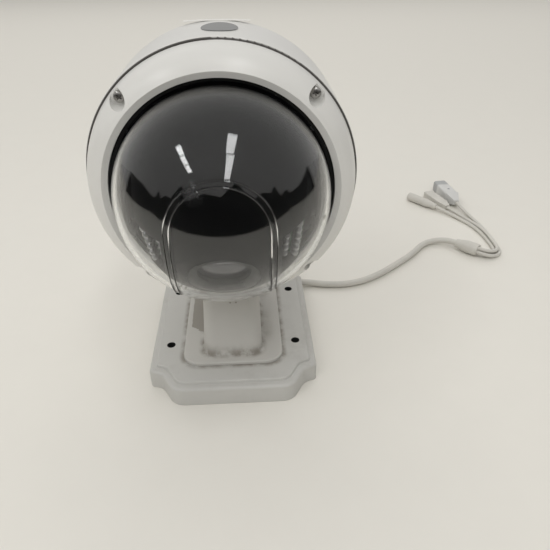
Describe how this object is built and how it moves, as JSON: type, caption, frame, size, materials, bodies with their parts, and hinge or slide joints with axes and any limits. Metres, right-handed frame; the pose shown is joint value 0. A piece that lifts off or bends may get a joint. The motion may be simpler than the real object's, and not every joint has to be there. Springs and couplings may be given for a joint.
{
  "type": "ptz camera",
  "caption": "Pan-tilt-zoom dome camera: round housing with screwed front ring, clear turning bubble and tilting lens head, on an arm and stepped wall plate, with a splitter cable.",
  "frame": {"origin": "centre of the wall plate's underside, in the plane that lies against the wall (here, the table)", "axes": "+Z out of the wall plate along the arm; -Y the way the dome faces; +X towards the side on which the cable leaves the plate"},
  "size_m": [0.3904, 0.4255, 0.2572],
  "materials": {
    "painted_white": "smooth warm white paint",
    "painted_plate": "greyish white paint, slightly grimy",
    "grey_rubber": "matt",
    "black_rubber": "matt",
    "steel": "bright",
    "motor_steel": "plain",
    "grey_badge": "silvery grey, blank",
    "white_label": "white film, blank",
    "aluminium": "plain",
    "black_plastic": "black, moulded",
    "black_casting": "black anodised",
    "green_board": "lacquered board",
    "brass": "plain",
    "white_cable": "smooth soft jacket, warm white",
    "white_connector": "smooth",
    "white_nylon": "moulded",
    "clear_bubble": "clear polished plastic",
    "clear_bezel": "clear rim",
    "clear_lamps": "clear lens",
    "lens_glass": "coated glass",
    "filter_glass": "coated glass"
  },
  "bodies": {
    "base": {"wall_plate": "painted_plate", "cable_grommet": "grey_rubber", "bracket_arm": "painted_white", "arm_gasket": "black_rubber", "arm_screws": "steel", "housing_shell": "painted_white", "front_ring": "painted_white", "ring_gasket": "black_rubber", "ring_screws": "steel", "wiper_seal": "black_rubber", "blank_badge": "grey_badge", "blank_label": "white_label", "chassis_plate": "aluminium", "chassis_screws": "steel", "pan_motor": "motor_steel", "bearing_outer_race": "steel", "bearing_balls": "steel", "slip_ring_stator": "black_plastic", "main_board": "green_board", "board_standoffs": "brass", "harness_cable": "white_cable", "main_cord": "white_cable", "splitter_boot": "white_cable", "power_leg": "white_cable", "io_leg": "white_cable", "network_leg": "white_cable", "power_socket": "white_connector", "io_connector": "white_connector", "network_socket": "white_connector"},
    "turntable": {"pan_turntable": "black_casting", "pan_gear": "white_nylon", "turntable_screws": "steel", "bearing_inner_race": "steel", "slip_ring_rotor": "black_plastic", "dome_bubble": "clear_bubble", "bubble_clamp_ring": "black_plastic", "dome_liner": "black_plastic", "yoke_left": "aluminium", "yoke_right": "aluminium", "yoke_bushes": "brass", "yoke_caps": "black_plastic", "tilt_motor": "motor_steel", "tilt_motor_bracket": "aluminium", "tilt_belt": "black_rubber"},
    "pan_drive": {"pan_pinion": "brass"},
    "tilt_drive": {"tilt_motor_pulley": "brass"},
    "head": {"head_front_shell": "black_plastic", "head_rear_shell": "black_plastic", "tilt_trunnions": "steel", "tilt_pulley": "white_nylon", "lens_barrel": "black_casting", "lens_bezel": "clear_bezel", "objective_glass": "lens_glass", "guide_rods": "steel", "sensor_board": "green_board", "led_boards": "green_board", "ir_leds": "clear_lamps"},
    "zoom_group": {"zoom_carriage": "black_plastic"},
    "focus_group": {"focus_carriage": "black_plastic"},
    "filter": {"ir_cut_filter": "filter_glass"}
  },
  "joints": [
    {"name": "pan", "type": "hinge", "parent": "base", "child": "turntable", "pos_m": [0, -0.0415, 0.165], "axis": [0, -1, 0], "continuous": true},
    {"name": "pan_drive_spin", "type": "hinge", "parent": "base", "child": "pan_drive", "pos_m": [0, -0.0415, 0.211], "axis": [0, -1, 0], "continuous": true},
    {"name": "tilt", "type": "hinge", "parent": "turntable", "child": "head", "pos_m": [0, -0.0628, 0.165], "axis": [1, 0, 0], "range_deg": [-30, 60]},
    {"name": "tilt_drive_spin", "type": "hinge", "parent": "turntable", "child": "tilt_drive", "pos_m": [0, -0.0188, 0.1875], "axis": [1, 0, 0], "range_deg": [-120, 240]},
    {"name": "zoom", "type": "slide", "parent": "head", "child": "zoom_group", "axis": [0, -0.866, -0.5], "range_m": [-0.006, 0.014]},
    {"name": "focus", "type": "slide", "parent": "head", "child": "focus_group", "axis": [0, -0.866, -0.5], "range_m": [-0.006, 0.006]},
    {"name": "ir_cut", "type": "slide", "parent": "head", "child": "filter", "axis": [1, 0, 0], "range_m": [-0.003, 0.009]}
  ],
  "couplings": [
    {"joint": "pan_drive_spin", "follows": "pan", "ratio": -6.6667},
    {"joint": "tilt_drive_spin", "follows": "tilt", "ratio": 4}
  ]
}
